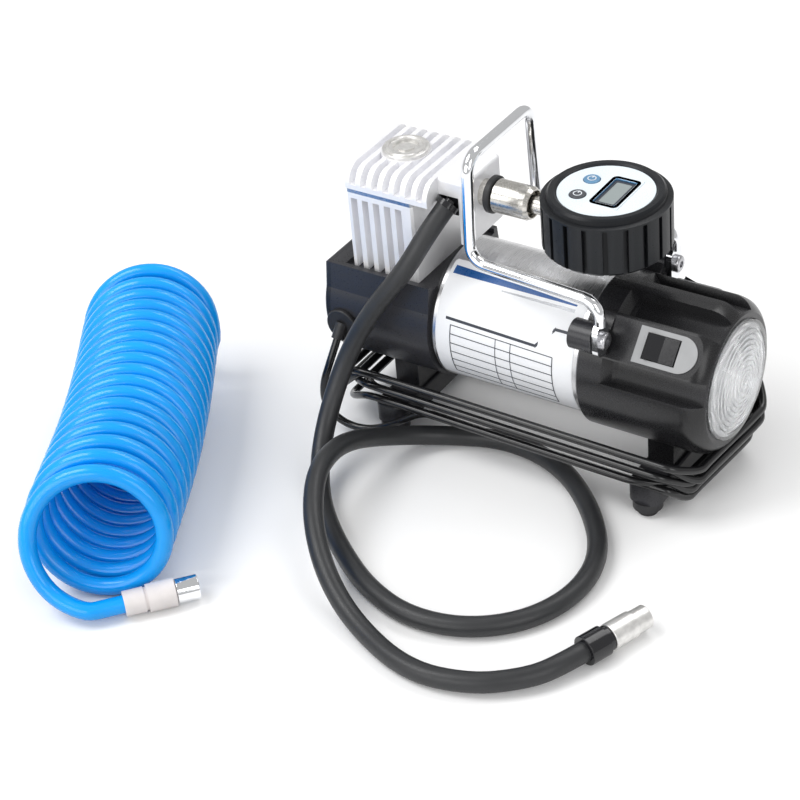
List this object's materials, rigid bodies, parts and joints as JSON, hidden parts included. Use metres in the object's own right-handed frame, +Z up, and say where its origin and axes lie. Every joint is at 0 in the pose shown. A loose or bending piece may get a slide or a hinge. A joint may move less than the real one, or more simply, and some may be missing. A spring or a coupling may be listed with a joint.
{
  "type": "portable tire inflator",
  "caption": "Small 12 V piston air compressor with an electric motor, finned cylinder head, swivelling digital gauge, lamp, carrying handle, air hose, coil hose and wound power cord.",
  "frame": {"origin": "on the floor under the middle of the body", "axes": "+X along the motor axis towards the lamp, +Z up, the near side with the power switch faces -Y"},
  "size_m": [0.3683, 0.3129, 0.1729],
  "materials": {
    "black_housing": "satin",
    "black_cast": "satin black",
    "silver_can": "brushed",
    "cast_aluminium": "as cast",
    "steel": "machined",
    "chrome": "polished",
    "nickel": "nickel plated",
    "brass": "machined",
    "rubber": "matt",
    "hose_rubber": "satin",
    "cord": "gloss",
    "coil_blue": "translucent blue",
    "face_white": "pale blue-white",
    "display": "grey liquid crystal",
    "button_blue": "blue",
    "button_grey": "dark grey",
    "pad_grey": "light grey",
    "rocker_black": "gloss",
    "lens": "ribbed clear",
    "reflector": "vacuum metallised",
    "board": "circuit board",
    "magnet": "ferrite",
    "copper": "copper segments",
    "carbon": "carbon",
    "gasket": "matt",
    "white_body": "knurled white"
  },
  "bodies": {
    "base": {"rear_crankcase": "black_cast", "rear_cover": "black_cast", "rear_cover_screws": "steel", "cord_grommet": "rubber", "motor_gasket": "gasket", "motor_can": "silver_can", "magnets": "magnet", "shaft_bearings": "steel", "brush_plate": "black_housing", "brushes": "carbon", "cylinder_barrel": "cast_aluminium", "valve_plate": "steel", "cylinder_head": "cast_aluminium", "head_studs": "steel", "head_cap": "nickel", "front_housing": "black_housing", "power_switch_frame": "pad_grey", "lamp_switch_frame": "pad_grey", "lamp_reflector": "reflector", "lamp_board": "board", "lamp_lens": "lens", "carrying_handle": "chrome", "handle_screws": "steel", "coupling_socket": "nickel", "coupling_ring": "rubber", "foot_brackets": "black_cast", "bracket_screws": "steel", "rubber_feet": "rubber", "hose_fitting": "brass", "air_hose": "hose_rubber", "air_coupler_body": "black_housing", "power_cord_lead": "cord", "power_cord_winding": "cord", "plug_body": "black_housing", "plug_contacts": "nickel", "coil_hose": "coil_blue", "coil_coupler_body": "white_body", "coil_inlet_plug": "nickel"},
    "rotor": {"armature": "steel", "commutator": "copper", "motor_shaft": "steel", "cooling_fan": "black_housing", "crank_disc": "steel"},
    "rod": {"connecting_rod": "cast_aluminium", "wrist_pin": "steel"},
    "piston_body": {"piston": "cast_aluminium", "piston_ring": "steel"},
    "power_rocker_body": {"power_rocker": "rocker_black"},
    "lamp_rocker_body": {"lamp_rocker": "rocker_black"},
    "coupling_sleeve_body": {"coupling_sleeve": "nickel"},
    "gauge": {"gauge_stem": "nickel", "gauge_boot": "rubber", "gauge_case": "black_housing", "gauge_face": "face_white", "display_window": "display"},
    "mode_button_body": {"mode_button": "button_blue"},
    "unit_button_body": {"unit_button": "button_grey"},
    "air_sleeve_body": {"air_coupler_sleeve": "nickel"},
    "coil_sleeve_body": {"coil_coupler_sleeve": "chrome"},
    "plug_tip_body": {"plug_tip": "nickel"}
  },
  "joints": [
    {"name": "motor_spin", "type": "hinge", "parent": "base", "child": "rotor", "pos_m": [-0.076, 0, 0.065], "axis": [1, 0, 0], "continuous": true},
    {"name": "rod_pivot", "type": "hinge", "parent": "rotor", "child": "rod", "pos_m": [-0.076, 0, 0.072], "axis": [1, 0, 0], "continuous": true},
    {"name": "piston_slide", "type": "slide", "parent": "base", "child": "piston_body", "axis": [0, 0, 1], "range_m": [-0.014, 0]},
    {"name": "power_switch", "type": "hinge", "parent": "base", "child": "power_rocker_body", "pos_m": [0.079, -0.02655, 0.09019], "axis": [0, 0.6884, 0.7254], "range_deg": [-14, 0]},
    {"name": "lamp_switch", "type": "hinge", "parent": "base", "child": "lamp_rocker_body", "pos_m": [0.072, 0.02655, 0.09019], "axis": [0, 0.6884, -0.7254], "range_deg": [-14, 0]},
    {"name": "coupling_release", "type": "slide", "parent": "base", "child": "coupling_sleeve_body", "axis": [1, 0, 0], "range_m": [0, 0.003], "stiffness_N_per_m": 600},
    {"name": "gauge_swivel", "type": "hinge", "parent": "base", "child": "gauge", "pos_m": [-0.015, 0, 0.1345], "axis": [1, 0, 0], "range_deg": [-40, 40]},
    {"name": "mode_press", "type": "slide", "parent": "gauge", "child": "mode_button_body", "axis": [0, 0, 1], "range_m": [-0.001, 0], "stiffness_N_per_m": 400},
    {"name": "unit_press", "type": "slide", "parent": "gauge", "child": "unit_button_body", "axis": [0, 0, 1], "range_m": [-0.001, 0], "stiffness_N_per_m": 400},
    {"name": "air_coupler_release", "type": "slide", "parent": "base", "child": "air_sleeve_body", "axis": [0.36, 0.933, 0], "range_m": [0, 0.003], "stiffness_N_per_m": 600},
    {"name": "coil_coupler_release", "type": "slide", "parent": "base", "child": "coil_sleeve_body", "axis": [0.6606, 0.7507, 0], "range_m": [0, 0.003], "stiffness_N_per_m": 600},
    {"name": "plug_tip_spring", "type": "slide", "parent": "base", "child": "plug_tip_body", "axis": [-1, 0, 0], "range_m": [-0.0025, 0], "stiffness_N_per_m": 800}
  ],
  "couplings": [
    {"joint": "rod_pivot", "follows": "motor_spin", "ratio": -1}
  ]
}
